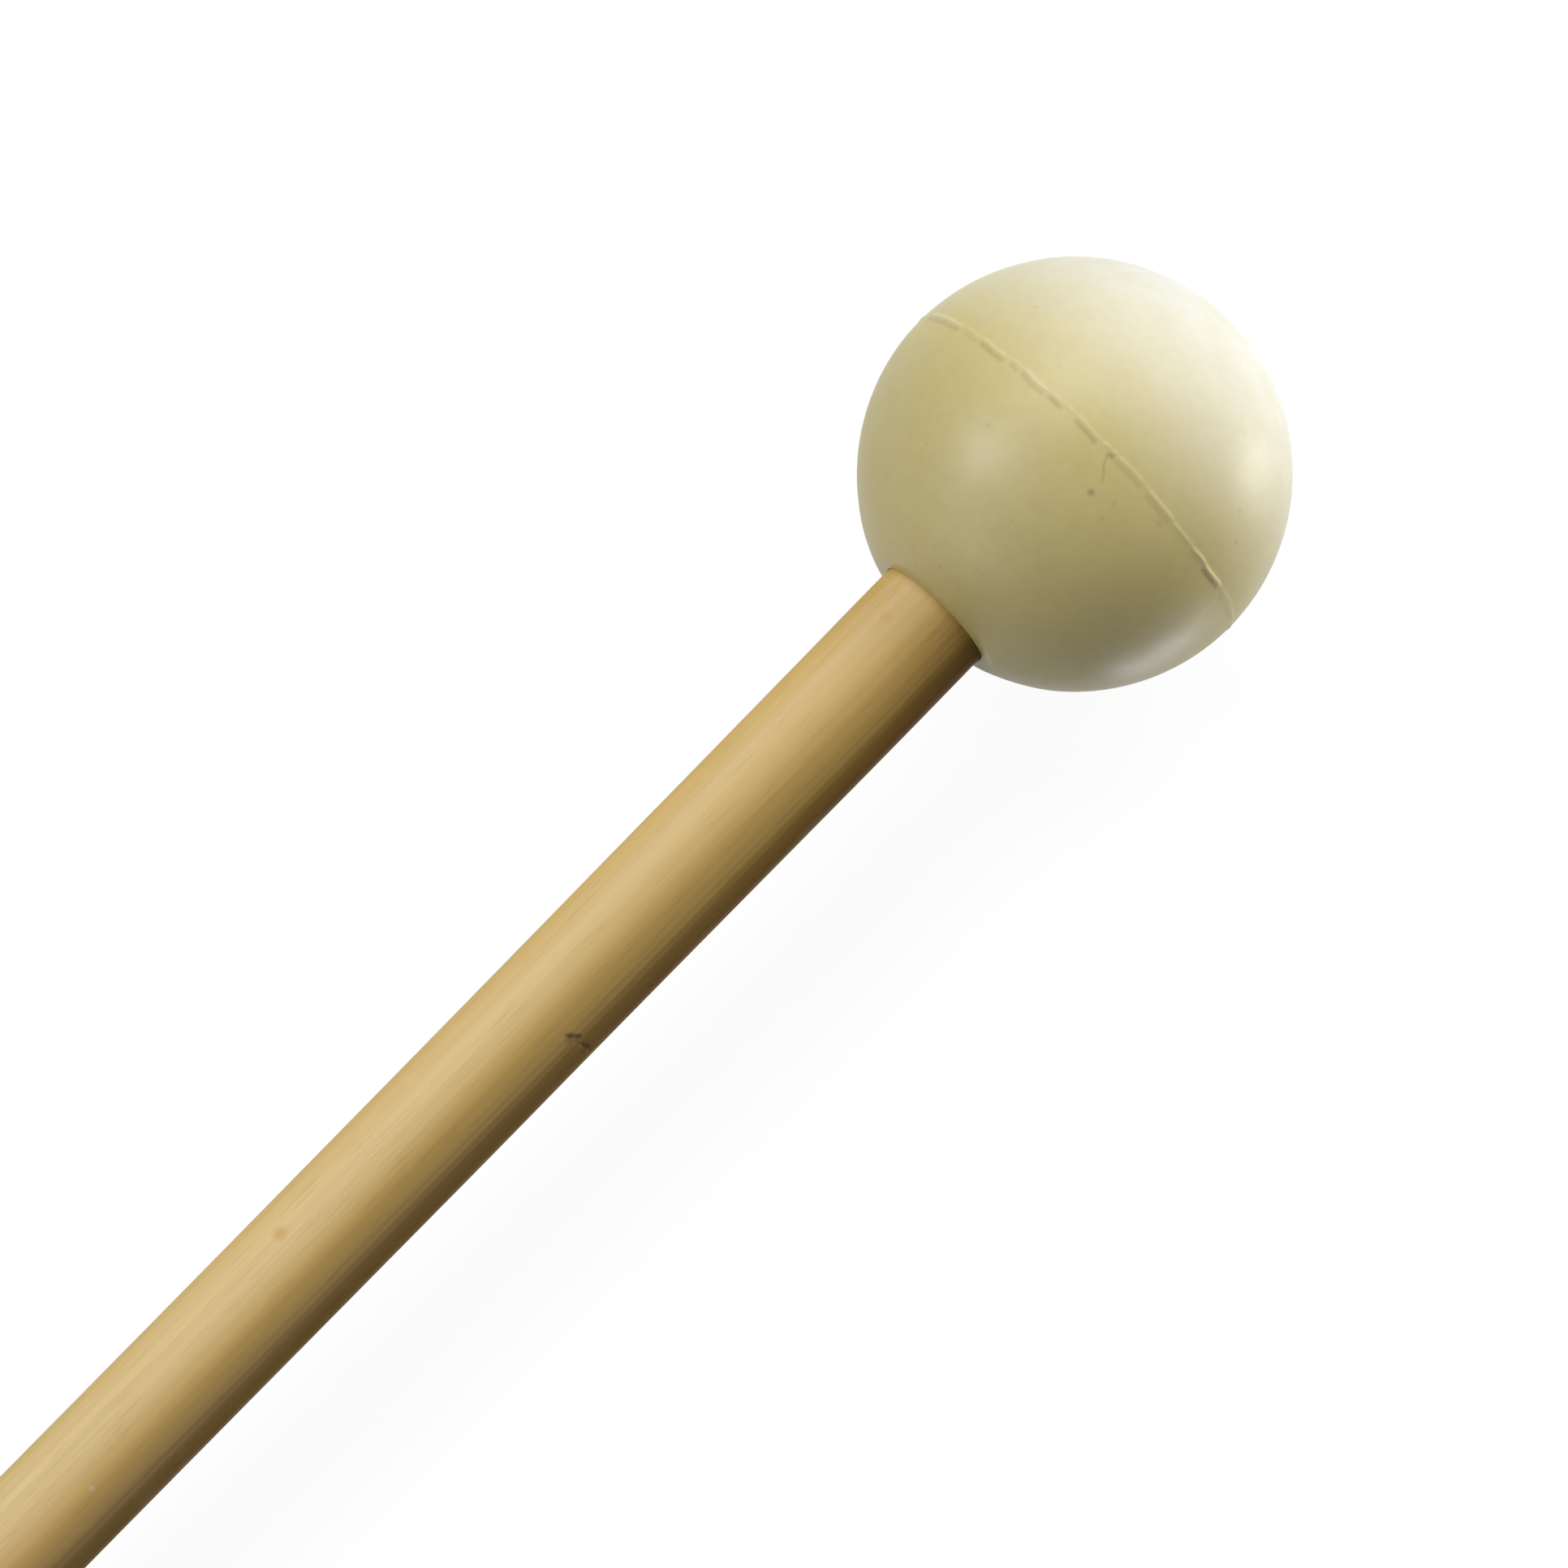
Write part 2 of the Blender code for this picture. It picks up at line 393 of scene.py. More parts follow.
def ball_rings():
    """The ball's profile: over the free end, past the seam to the mouth, and up inside the hole.

    With it come the number of its rings outside and the height of the lip's centre.
    """
    def spacing(angle):
        return in_bands(BALL_RADIUS * math.cos(angle), BALL_RING_BANDS, BALL_RING_SPACING) / BALL_RADIUS

    lip_x = MOUTH_RADIUS + LIP_RADIUS
    lip_z = MOUTH_PLANE + LIP_RADIUS
    angles = graded(FIRST_RING_ANGLE, math.pi - math.asin(lip_x / BALL_RADIUS), spacing)
    outside = np.stack([BALL_RADIUS * np.sin(angles), BALL_RADIUS * np.cos(angles)], axis=1)
    outside[:, 1] = held_over(outside[:, 1], MOUTH_PLANE, MOUTH_PLANE_SOFTNESS)
    lip = arc(lip_x, lip_z, LIP_RADIUS, math.radians(180), math.radians(270), LIP_POINTS)
    collar_z = lip_z + MOUTH_COLLAR
    wall = [(BORE_RADIUS, z) for z in (collar_z + COLLAR_STEP, *BORE_RINGS, BORE_SHOULDER)]
    inside = [(MOUTH_RADIUS, collar_z), *wall, (TIP_RADIUS, BORE_SHOULDER + DRILL_POINT_HEIGHT)]
    return np.concatenate([outside, lip[1:], inside]), len(outside), lip_z


def build_ball():
    """The moulded ball, whose skin has the seam, the scratch and the pits."""
    rng = random.Random(BALL_SEED)
    profile, outside_count, lip_z = ball_rings()
    azimuths = columns_round(BALL_COLUMN_START, BALL_COLUMN_BANDS, BALL_COLUMN_SPACING, BALL_RADIUS)
    points = turned_points(profile, azimuths)
    skin = points[:outside_count].copy()
    along = skin[..., 2]
    around = np.broadcast_to(azimuths, along.shape)

    lift, flash, painted_shade = seam_marks(rng, azimuths, along)
    for waves in SKIN_WAVES:
        lift = lift + unevenness(rng, around, along, *waves)
    scratch = near_line(skin, [seen_on_ball(*at) for at in SCRATCH], SCRATCH_HALF_WIDTH)
    lift = lift - SCRATCH_DEPTH * scratch
    for right, toward_head, radius, depth in PITS:
        lift = lift - depth * MM * near_point(skin, seen_on_ball(right, toward_head), radius * MM)
    lift = lift * (1 - smooth_step(-along, -lip_z - MOUTH_FADE, -lip_z))
    points[:outside_count] = skin + skin / BALL_RADIUS * lift[..., None]

    shift = smooth_step(-points[..., 2], SHIFT_START, SHIFT_END)
    shift[outside_count:] = 1
    slide_right(points, SIDE_SHIFT * shift)

    no_marks_inside = ((0, len(profile) - outside_count), (0, 0))
    # The flash's painted highlight, and painted shade at the seam's foot and in the scratch.
    marks = {
        "flash": np.pad(flash, no_marks_inside),
        "painted_shade": np.pad(np.maximum(painted_shade, SCRATCH_SHADE * scratch), no_marks_inside),
    }
    return ring_object("rubber_ball", points, marks)


# The dowel's true radius and its bow to the right, in mm, at heights along its axis in mm.
DOWEL_SHAPE = [
    (-344, 4.00, 0.00), (-330, 3.99, 0.00), (-280, 3.97, 0.04), (-200, 3.95, -0.07),
    (-120, 3.94, -0.14), (-90, 3.935, -0.120), (-79, 3.945, -0.095), (-69, 3.965, -0.080),
    (-58, 3.99, -0.070), (-47, 4.00, -0.090), (-37, 4.03, -0.100), (-31, 4.05, -0.100),
    (-21, 4.085, -0.105), (-14, 4.09, -0.135), (-8, 4.04, -0.13), (6, 4.00, -0.13),
]
# Two cuts over the dowel's right edge, in the photograph's pixels, and a place between them.
NICKS = [
    [(40, -927), (44, -925), (48, -921), (52, -917.5)],
    [(59, -923), (64, -922), (70, -921)],
]
NICKS_PLACE = (45, -926)
NICK_DEPTH = 0.09 * MM
NICK_HALF_WIDTH = 0.13 * MM

# Shallow furrows along the grain: how many, how deep, how often each goes round, how much it winds and
# swells along the dowel, and the range of that swelling.
FURROWS = 26
FURROW_DEPTH = 0.008 * MM
FURROW_TURNS = (8, 60)
FURROW_DRIFTS = (-18, 18)
FURROW_SWELLS = (15, 60)
FURROW_SWELLING = 0.4
WALL_FADE = 0.3 * MM

# How finely the dowel is cut, as for the ball. The fine rings reach this far from the cuts.
NICK_REACH = 2.2 * MM
NICK_RING_SPACING = 0.08 * MM
DOWEL_RING_SPACING = 1.1 * MM
DOWEL_COLUMN_START = math.radians(-90)
DOWEL_COLUMN_BANDS = [(math.radians(24), math.radians(76), 0.09 * MM)]
DOWEL_COLUMN_SPACING = 0.20 * MM


def dowel_rings():
    """The dowel's profile, from its seated end down to its butt."""
    nick_z = seen_on_dowel(*NICKS_PLACE)[2]
    bands = [(nick_z - NICK_REACH, nick_z + NICK_REACH, NICK_RING_SPACING)]

    def spacing(z):
        return in_bands(z, bands, DOWEL_RING_SPACING)

    top = [(TIP_RADIUS, DOWEL_TOP), (TOP_RING_RADIUS, DOWEL_TOP), (DOWEL_RADIUS - TOP_CHAMFER, DOWEL_TOP)]
    body = graded(DOWEL_BUTT + BUTT_ROUNDING, DOWEL_TOP - TOP_CHAMFER, spacing)[::-1]
    body = np.stack([np.full(len(body), DOWEL_RADIUS), body], axis=1)
    face_radius = DOWEL_RADIUS - BUTT_ROUNDING
    rounding = arc(face_radius, DOWEL_BUTT + BUTT_ROUNDING, BUTT_ROUNDING,
                   math.radians(90), math.radians(180), BUTT_ARC_POINTS)
    face = [(radius, DOWEL_BUTT) for radius in np.linspace(face_radius, TIP_RADIUS, BUTT_FACE_RINGS)]
    return np.concatenate([top, body, rounding[1:], face[1:]])


def grain_relief(rng, around, along):
    """Long furrows that run with the dowel, from about -1 to 1."""
    total = np.zeros(around.shape)
    for _ in range(FURROWS):
        turns = rng.randint(*FURROW_TURNS)
        drift = rng.uniform(*FURROW_DRIFTS)
        phase = rng.uniform(0, 2 * math.pi)
        swells = rng.uniform(*FURROW_SWELLS)
        swell = 1 - FURROW_SWELLING + FURROW_SWELLING * np.sin(along * swells + phase * 3)
        total += swell * np.cos(turns * around + drift * along + phase)
    return total / math.sqrt(FURROWS)


def build_dowel():
    """The dowel, with its slight bow, its grain and two cuts."""
    rng = random.Random(DOWEL_SEED)
    profile = dowel_rings()
    azimuths = columns_round(DOWEL_COLUMN_START, DOWEL_COLUMN_BANDS, DOWEL_COLUMN_SPACING, DOWEL_RADIUS)
    points = turned_points(profile, azimuths)
    height, radius, bow = np.array(DOWEL_SHAPE).T * MM
    ring_radius = smooth_curve(profile[:, 1], height, radius)
    points[..., :2] *= (ring_radius / DOWEL_RADIUS)[:, None, None]

    around = np.broadcast_to(azimuths, points.shape[:2])
    outward = np.stack([np.cos(around), np.sin(around), np.zeros_like(around)], axis=-1)
    lift = FURROW_DEPTH * grain_relief(rng, around, points[..., 2])
    for line in NICKS:
        places = [seen_on_dowel(*at) for at in line]
        lift = lift - NICK_DEPTH * near_line(points, places, NICK_HALF_WIDTH)
    wall = smooth_step(profile[:, 0], DOWEL_RADIUS - WALL_FADE, DOWEL_RADIUS)[:, None]
    points += outward * (lift * wall)[..., None]
    slide_right(points, smooth_curve(profile[:, 1], height, bow)[:, None])
    return ring_object("wooden_dowel", points)


# The glue's uneven rim: height, number of waves, longest and shortest wave.
GLUE_RIM_WAVES = (0.10 * MM, 8, 8 * MM, 3 * MM)


def build_glue():
    """The cured glue between the dowel and the hole, with its uneven rim inside the mouth's collar."""
    rng = random.Random(GLUE_SEED)
    azimuths = np.linspace(0, 2 * math.pi, GLUE_COLUMNS, endpoint=False)
    inner = DOWEL_RADIUS + GLUE_GAP + DOWEL_SWELL
    outer = BORE_RADIUS - GLUE_GAP
    over_dowel = DOWEL_TOP + GLUE_GAP
    chamfer = DOWEL_RADIUS - TOP_CHAMFER + GLUE_GAP
    tip = BORE_SHOULDER + DRILL_POINT_HEIGHT - GLUE_GAP
    outside = [(outer, z) for z in (BORE_SHOULDER, *reversed(BORE_RINGS), GLUE_RIM)]
    inside = [(inner, z) for z in (GLUE_RIM, *BORE_RINGS, DOWEL_TOP - TOP_CHAMFER)]
    profile = [(TIP_RADIUS, tip), *outside, *inside, (chamfer, over_dowel), (TIP_RADIUS, over_dowel)]
    points = turned_points(np.array(profile), azimuths)
    rim = len(outside)
    points[rim:rim + 2, :, 2] += unevenness(rng, azimuths, np.zeros(1), *GLUE_RIM_WAVES)
    slide_right(points, SIDE_SHIFT)
    return ring_object("glue_cup", points)


# Materials

def feed(tree, socket, value):
    """Sets a socket to a number or a colour, or links another node's output to it."""
    if isinstance(value, bpy.types.NodeSocket):
        tree.links.new(value, socket)
    elif isinstance(value, tuple) and socket.type == "RGBA":
        socket.default_value = (*value, 1)
    else:
        socket.default_value = value


def add(tree, kind, settings=None, inputs=None):
    """One node, with its settings and what its inputs are fed."""
    made = tree.nodes.new("ShaderNode" + kind)
    for name, value in (settings or {}).items():
        setattr(made, name, value)
    for name, value in (inputs or {}).items():
        feed(tree, made.inputs[name], value)
    return made


def calculate(tree, operation, first, second):
    return add(tree, "Math", {"operation": operation}, {0: first, 1: second}).outputs[0]


def product(tree, first, second):
    return calculate(tree, "MULTIPLY", first, second)


def blend(tree, share, first, second, mode="MIX"):
    """Two colours mixed. The Mix node's colour sockets are 6 and 7, and its colour output is 2."""
    made = add(tree, "Mix", {"data_type": "RGBA", "blend_type": mode}, {0: share, 6: first, 7: second})
    return made.outputs[2]


def fit(tree, value, low, high, to_low=0.0, to_high=1.0):
    """The value moved from one range to another, and held inside it."""
    return add(tree, "MapRange", {"clamp": True}, {
        "Value": value, "From Min": low, "From Max": high, "To Min": to_low, "To Max": to_high,
    }).outputs[0]


def noise(tree, where, scale, detail=3.0, roughness=0.5):
    return add(tree, "TexNoise", None, {
        "Vector": where, "Scale": scale, "Detail": detail, "Roughness": roughness,
    }).outputs[0]


def patches(tree, where, scale, detail, roughness, low, high):
    """Noise that is 0 up to one of its levels and 1 from the other."""
    return fit(tree, noise(tree, where, scale, detail, roughness), low, high)


def grain(tree, where, squeeze, scale, detail, roughness):
    """Noise drawn out along the dowel."""
    drawn = add(tree, "Mapping", None, {"Vector": where, "Scale": (1, 1, squeeze)}).outputs[0]
    return noise(tree, drawn, scale, detail, roughness)


def height_of(tree, where):
    """The height along the pieces' own axis."""
    return add(tree, "SeparateXYZ", None, {0: where}).outputs["Z"]


def mesh_mark(tree, name):
    """A mark that the mesh's points carry."""
    return add(tree, "Attribute", {"attribute_name": name}).outputs["Fac"]


def ramp(tree, value, stops):
    """The colour at a value from -1 to 1, between stops of (value, colour)."""
    made = add(tree, "ValToRGB", None, {"Fac": fit(tree, value, -1.0, 1.0)})
    while len(made.color_ramp.elements) < len(stops):
        made.color_ramp.elements.new(1.0)
    for element, (place, colour) in zip(made.color_ramp.elements, stops):
        element.position = place / 2 + 0.5
        element.color = (*colour, 1)
    return made.outputs["Color"]


def with_spots(tree, where, colour, spots, seen_at, softness):
    """The colour with small round spots: pixels right and toward the head, radius in mm, share, colour."""
    for right, toward_head, radius, share, paint in spots:
        place = tuple(seen_at(right, toward_head))
        gap = add(tree, "VectorMath", {"operation": "DISTANCE"}, {0: where, 1: place}).outputs["Value"]
        inner = radius * MM * (1 - softness)
        outer = radius * MM * (1 + softness)
        colour = blend(tree, product(tree, fit(tree, gap, inner, outer, 1.0, 0.0), share), colour, paint)
    return colour


def bump(tree, height, distance, strength, under=None):
    inputs = {"Height": height, "Distance": distance, "Strength": strength}
    if under is not None:
        inputs["Normal"] = under
    return add(tree, "Bump", None, inputs).outputs[0]


def new_material(name):
    """A material, its node tree, its shader, and coordinates on the pieces' own axis."""
    material = bpy.data.materials.new(name)
    material.use_nodes = True
    tree = material.node_tree
    where = add(tree, "Mapping", {"vector_type": "TEXTURE"}, {
        "Vector": add(tree, "TexCoord").outputs["Object"],
        "Location": PLACE.translation,
        "Rotation": PLACE.to_euler(),
    }).outputs[0]
    return material, tree, tree.nodes["Principled BSDF"], where


def finish_surface(tree, shader, colour, roughness, normal):
    for name, output in (("Base Color", colour), ("Roughness", roughness), ("Normal", normal)):
        tree.links.new(output, shader.inputs[name])


# The rubber's colours and the largest share of each over what lies under it. The smudges' share is
# given for bare rubber and for rubber under the full painted highlight.
RUBBER = (0.538, 0.450, 0.168)
RUBBER_LIGHT = (0.564, 0.475, 0.182)
# Painted highlight: the rubber turns paler and whiter towards the ball's free end, which faces the head
# lamps.
PAINTED_HIGHLIGHT = (0.655, 0.645, 0.570)
CLOUD_TAN = (0.500, 0.420, 0.165)
CLOUD_SHARE = 0.34
SMUDGE_BROWN = (0.450, 0.355, 0.130)
SMUDGE_SHARES = (0.26, 0.03)
FINE_PALE = (0.640, 0.585, 0.320)
FINE_SHARE = 0.12
DOT_BROWN = (0.20, 0.15, 0.06)
DOT_SHARE = 0.22
# Painted highlight along the seam's flash; painted shade at its foot and in the scratch.
FLASH_HIGHLIGHT = (0.710, 0.640, 0.375)
FLASH_HIGHLIGHT_SHARE = 0.50
PAINTED_SHADE_BROWN = (0.315, 0.178, 0.050)
PAINTED_SHADE_SHARE = 0.95
PAINTED_SHADE_LEAST = 0.75
SPECK_BROWN = (0.150, 0.108, 0.040)

# Most noise lies between these levels.
NOISE_LEVELS = (0.3, 0.7)

# Noise on the rubber: scale, detail, roughness, and the levels where it starts and is full.
BROAD_NOISE = (90.0, 2.0, 0.5, 0.35, 0.65)
CLOUD_NOISE = (420.0, 4.0, 0.6, 0.3, 0.7)
SMUDGE_NOISE = (1300.0, 3.0, 0.55, 0.42, 0.72)
FINE_NOISE = (2600.0, 2.0, 0.6, 0.35, 0.7)

# The painted highlight starts and is full at these heights over the ball's centre, which the clouds move.
HIGHLIGHT_START = 0.5 * MM
HIGHLIGHT_FULL = 12.0 * MM
HIGHLIGHT_UNEVENNESS = 1.5 * MM

# Tiny dots: the scale of their cells, which cells have one, and how sharp it is.
DOT_SCALE = 520.0
DOT_CHOICE = (0.86, 0.90)
DOT_EDGE = (0.04, 0.12)

# The rubber's sheen and relief. Each relief is a noise, its depth and its strength.
RUBBER_SPECULAR = 0.65
RUBBER_ROUGHNESS = (0.40, 0.48)
POLISH_SCALE = 300.0
RUBBER_WAVES = (900.0, 3.0, 0.5)
RUBBER_WAVE_RELIEF = (0.020 * MM, 0.5)
RUBBER_GRAIN = (5200.0, 3.0, 0.6)
RUBBER_GRAIN_RELIEF = (0.006 * MM, 0.6)

# Specks on the ball: pixels right and toward the head, radius in mm, and share of colour.
SPECKS = [
    (30, -2, 0.20, 0.58), (59, 9.6, 0.14, 0.14), (115, 28, 0.19, 0.18), (198, 78, 0.12, 0.14),
    (-117, -31, 0.15, 0.20), (60, 6.5, 0.12, 0.14), (63, -15, 0.12, 0.18), (-15, -95, 0.12, 0.15),
    (-37, -195, 0.16, 0.20), (7, -165, 0.13, 0.18), (175, 109, 0.18, 0.18), (199, 78, 0.12, 0.16),
    (167, 153, 0.12, 0.15), (-155, -100, 0.12, 0.15), (-177, 112, 0.14, 0.15), (-105, 80, 0.12, 0.12),
]
SPECK_SOFTNESS = 0.8


def rubber_skin(tree, where, fine):
    """Khaki rubber, clouded and smudged, with a painted highlight that turns its free half paler."""
    cloud = patches(tree, where, *CLOUD_NOISE)
    height = calculate(tree, "ADD", height_of(tree, where), product(tree, cloud, HIGHLIGHT_UNEVENNESS))
    highlight_share = fit(tree, height, HIGHLIGHT_START, HIGHLIGHT_FULL)
    colour = blend(tree, patches(tree, where, *BROAD_NOISE), RUBBER, RUBBER_LIGHT)
    colour = blend(tree, highlight_share, colour, PAINTED_HIGHLIGHT)
    colour = blend(tree, product(tree, cloud, CLOUD_SHARE), colour, CLOUD_TAN)
    smudge = product(tree, patches(tree, where, *SMUDGE_NOISE), fit(tree, highlight_share, 0, 1, *SMUDGE_SHARES))
    colour = blend(tree, smudge, colour, SMUDGE_BROWN)
    return blend(tree, product(tree, fine, FINE_SHARE), colour, FINE_PALE)


def with_dots(tree, where, colour):
    cells = add(tree, "TexVoronoi", {"feature": "F1"}, {"Vector": where, "Scale": DOT_SCALE})
    chosen = fit(tree, cells.outputs["Color"], *DOT_CHOICE)
    dots = fit(tree, cells.outputs["Distance"], *DOT_EDGE, DOT_SHARE, 0.0)
    return blend(tree, product(tree, dots, chosen), colour, DOT_BROWN)


def with_seam(tree, colour, fine):
    """The colour with a painted highlight along the seam's flash, and with painted shade at its foot and
    in the scratch.
    """
    colour = blend(tree, product(tree, mesh_mark(tree, "flash"), FLASH_HIGHLIGHT_SHARE), colour, FLASH_HIGHLIGHT)
    painted_shade = product(tree, mesh_mark(tree, "painted_shade"), fit(tree, fine, 0, 1, PAINTED_SHADE_LEAST, 1.0))
    return blend(tree, product(tree, painted_shade, PAINTED_SHADE_SHARE), colour, PAINTED_SHADE_BROWN)


def rubber_material():
    material, tree, shader, where = new_material("khaki_rubber")
    fine = patches(tree, where, *FINE_NOISE)
    colour = with_dots(tree, where, rubber_skin(tree, where, fine))
    colour = with_seam(tree, colour, fine)
    specks = [(*speck, SPECK_BROWN) for speck in SPECKS]
    colour = with_spots(tree, where, colour, specks, seen_on_ball, SPECK_SOFTNESS)
    roughness = fit(tree, noise(tree, where, POLISH_SCALE), *NOISE_LEVELS, *RUBBER_ROUGHNESS)
    shader.inputs["Specular IOR Level"].default_value = RUBBER_SPECULAR
    waves = bump(tree, noise(tree, where, *RUBBER_WAVES), *RUBBER_WAVE_RELIEF)
    normal = bump(tree, noise(tree, where, *RUBBER_GRAIN), *RUBBER_GRAIN_RELIEF, waves)
    finish_surface(tree, shader, colour, roughness, normal)
    return material


# The wood's grain: how much it is drawn out along the dowel, its scale, detail and roughness.
LONG_STREAKS = (0.012, 1500.0, 3.0, 0.55)
SOFT_BANDS = (0.02, 420.0, 2.0, 0.5)
PORES = (0.05, 5200.0, 2.0, 0.6)
MOTTLE = (0.35, 900.0, 3.0, 0.6)

# The wood's two colours, with the levels of the bands between them, and the layers over them. A layer
# has the levels where its noise starts and is full, its largest share, and its colour.
WOOD = (0.714, 0.521, 0.248)
WOOD_LIGHT = (0.759, 0.566, 0.290)
BAND_LEVELS = (0.35, 0.65)
STREAK_LAYER = (0.40, 0.70, 0.24, (0.455, 0.295, 0.090))
PORE_LAYER = (0.55, 0.72, 0.20, (0.370, 0.222, 0.064))
MOTTLE_LAYER = (0.35, 0.70, 0.16, (0.670, 0.490, 0.210))

# The dowel's tint from its pale left side over to its dark right side: painted sheen on the left and
# painted shade on the right, deepest near the ball. Place across it as a share of its radius, and the tint
# there.
# The painted shade fades with the distance from the ball, from the first ramp to the second.
SHADE_AND_SHEEN_NEAR = [
    (-0.95, (0.945, 0.880, 0.63)), (-0.64, (0.990, 0.970, 0.93)), (-0.26, (0.965, 0.922, 0.75)),
    (0.06, (0.850, 0.770, 0.52)), (0.19, (0.790, 0.700, 0.46)), (0.46, (0.755, 0.650, 0.42)),
    (0.58, (0.815, 0.705, 0.46)), (0.70, (0.585, 0.490, 0.28)), (0.82, (0.470, 0.362, 0.17)),
    (0.90, (0.340, 0.225, 0.07)),
]
SHADE_AND_SHEEN_FAR = [
    (-0.95, (0.910, 0.900, 0.77)), (-0.64, (0.970, 1.000, 1.00)), (-0.24, (0.980, 0.985, 0.93)),
    (0.06, (0.930, 0.830, 0.56)), (0.24, (0.920, 0.810, 0.55)), (0.52, (0.990, 0.905, 0.69)),
    (0.70, (1.000, 0.920, 0.69)), (0.88, (0.920, 0.760, 0.42)),
]
SHADE_NEAR_Z = -20 * MM
SHADE_FAR_Z = -90 * MM

# Spots on the dowel, the last three painted shade in its cuts: pixels right and toward the head, radius in
# mm, share and colour.
NICK_SHADE_BROWN = (0.130, 0.092, 0.048)
WOOD_SPOTS = [
    (-42, -1340, 0.42, 0.55, (0.560, 0.290, 0.070)), (11, -1715, 0.16, 0.45, (0.700, 0.680, 0.620)),
    (-40, -289, 0.40, 0.35, (0.540, 0.320, 0.090)), (43, -925.5, 0.30, 0.72, NICK_SHADE_BROWN),
    (50, -919.5, 0.24, 0.68, NICK_SHADE_BROWN), (65, -922, 0.34, 0.62, (0.110, 0.078, 0.028)),
]
WOOD_SPOT_SOFTNESS = 0.6

# The wood's sheen and relief.
WOOD_SPECULAR = 0.06
WOOD_ROUGHNESS = (0.52, 0.62)
STREAK_RELIEF = (0.05 * MM, 0.30)
PORE_RELIEF = (0.012 * MM, 0.5)


def painted_shade_and_sheen(tree, where):
    """The painted sheen and shade across the dowel, which turns from one ramp to the other along it."""
    side = add(tree, "VectorMath", {"operation": "DOT_PRODUCT"}, {0: where, 1: RIGHT_SIDE})
    across = calculate(tree, "DIVIDE", side.outputs["Value"], DOWEL_RADIUS)
    nearness = fit(tree, height_of(tree, where), SHADE_FAR_Z, SHADE_NEAR_Z)
    return blend(tree, nearness, ramp(tree, across, SHADE_AND_SHEEN_FAR), ramp(tree, across, SHADE_AND_SHEEN_NEAR))


def wood_material():
    material, tree, shader, where = new_material("lacquered_wood")
    streaks = grain(tree, where, *LONG_STREAKS)
    bands = grain(tree, where, *SOFT_BANDS)
    pores = grain(tree, where, *PORES)
    mottle = grain(tree, where, *MOTTLE)
    colour = blend(tree, fit(tree, bands, *BAND_LEVELS), WOOD, WOOD_LIGHT)
    for value, layer in ((streaks, STREAK_LAYER), (pores, PORE_LAYER), (mottle, MOTTLE_LAYER)):
        low, high, most, paint = layer
        colour = blend(tree, fit(tree, value, low, high, 0.0, most), colour, paint)
    # Painted sheen on the dowel's left side and painted shade on its right.
    colour = blend(tree, 1.0, colour, painted_shade_and_sheen(tree, where), "MULTIPLY")
    colour = with_spots(tree, where, colour, WOOD_SPOTS, seen_on_dowel, WOOD_SPOT_SOFTNESS)
    roughness = fit(tree, mottle, *NOISE_LEVELS, *WOOD_ROUGHNESS)
    shader.inputs["Specular IOR Level"].default_value = WOOD_SPECULAR
    normal = bump(tree, pores, *PORE_RELIEF, bump(tree, streaks, *STREAK_RELIEF))
    finish_surface(tree, shader, colour, roughness, normal)
    return material


# The glue's colours, sheen and relief.
GLUE_DARK = (0.46, 0.30, 0.10)
GLUE_LIGHT = (0.54, 0.37, 0.15)
GLUE_ROUGHNESS = (0.22, 0.36)
GLUE_CLOUD_SCALE = 700.0
GLUE_GRAIN_SCALE = 2500.0
GLUE_RELIEF = (0.02 * MM, 0.5)


def glue_material():
    material, tree, shader, where = new_material("amber_glue")
    cloud = noise(tree, where, GLUE_CLOUD_SCALE)
    colour = blend(tree, fit(tree, cloud, *NOISE_LEVELS), GLUE_DARK, GLUE_LIGHT)
    roughness = fit(tree, cloud, *NOISE_LEVELS, *GLUE_ROUGHNESS)
    normal = bump(tree, noise(tree, where, GLUE_GRAIN_SCALE), *GLUE_RELIEF)
    finish_surface(tree, shader, colour, roughness, normal)
    return material


# Stage, light and camera

FLOOR_HALF_WIDTH = 6.0
FLOOR_COLOUR = (0.80, 0.80, 0.80)
FLOOR_BOUNCE = (0.05, 0.05, 0.05)
FLOOR_WHITE = 1.06
FLOOR_SHADE_SHARE = 0.12
WHITE = (1.0, 1.0, 1.0)
WORLD_STRENGTH = 0.01


def seen_directly(tree):
    """1 for rays straight from the camera, in a reflection or through glass, else 0."""
    path = add(tree, "LightPath")
    share = path.outputs["Is Camera Ray"]
    for name in ("Is Glossy Ray", "Is Transmission Ray"):
        share = calculate(tree, "MAXIMUM", share, path.outputs[name])
    return share


def mixed_shader(tree, share, first, second):
    return add(tree, "MixShader", None, {0: share, 1: first.outputs[0], 2: second.outputs[0]})


def floor_material():
    """A white floor with a faint shadow, which throws little light back and is clear from below."""
    material = bpy.data.materials.new("studio_white")
    material.use_nodes = True
    tree = material.node_tree
    tree.nodes.clear()
    direct = seen_directly(tree)
    matte = add(tree, "BsdfDiffuse", None, {"Color": blend(tree, direct, FLOOR_BOUNCE, FLOOR_COLOUR)})
    white = add(tree, "Emission", None, {"Strength": FLOOR_WHITE})
    top = mixed_shader(tree, product(tree, direct, 1 - FLOOR_SHADE_SHARE), matte, white)
    below = add(tree, "NewGeometry").outputs["Backfacing"]
    both = mixed_shader(tree, below, top, add(tree, "BsdfTransparent"))
    add(tree, "OutputMaterial", None, {"Surface": both.outputs[0]})
    return material


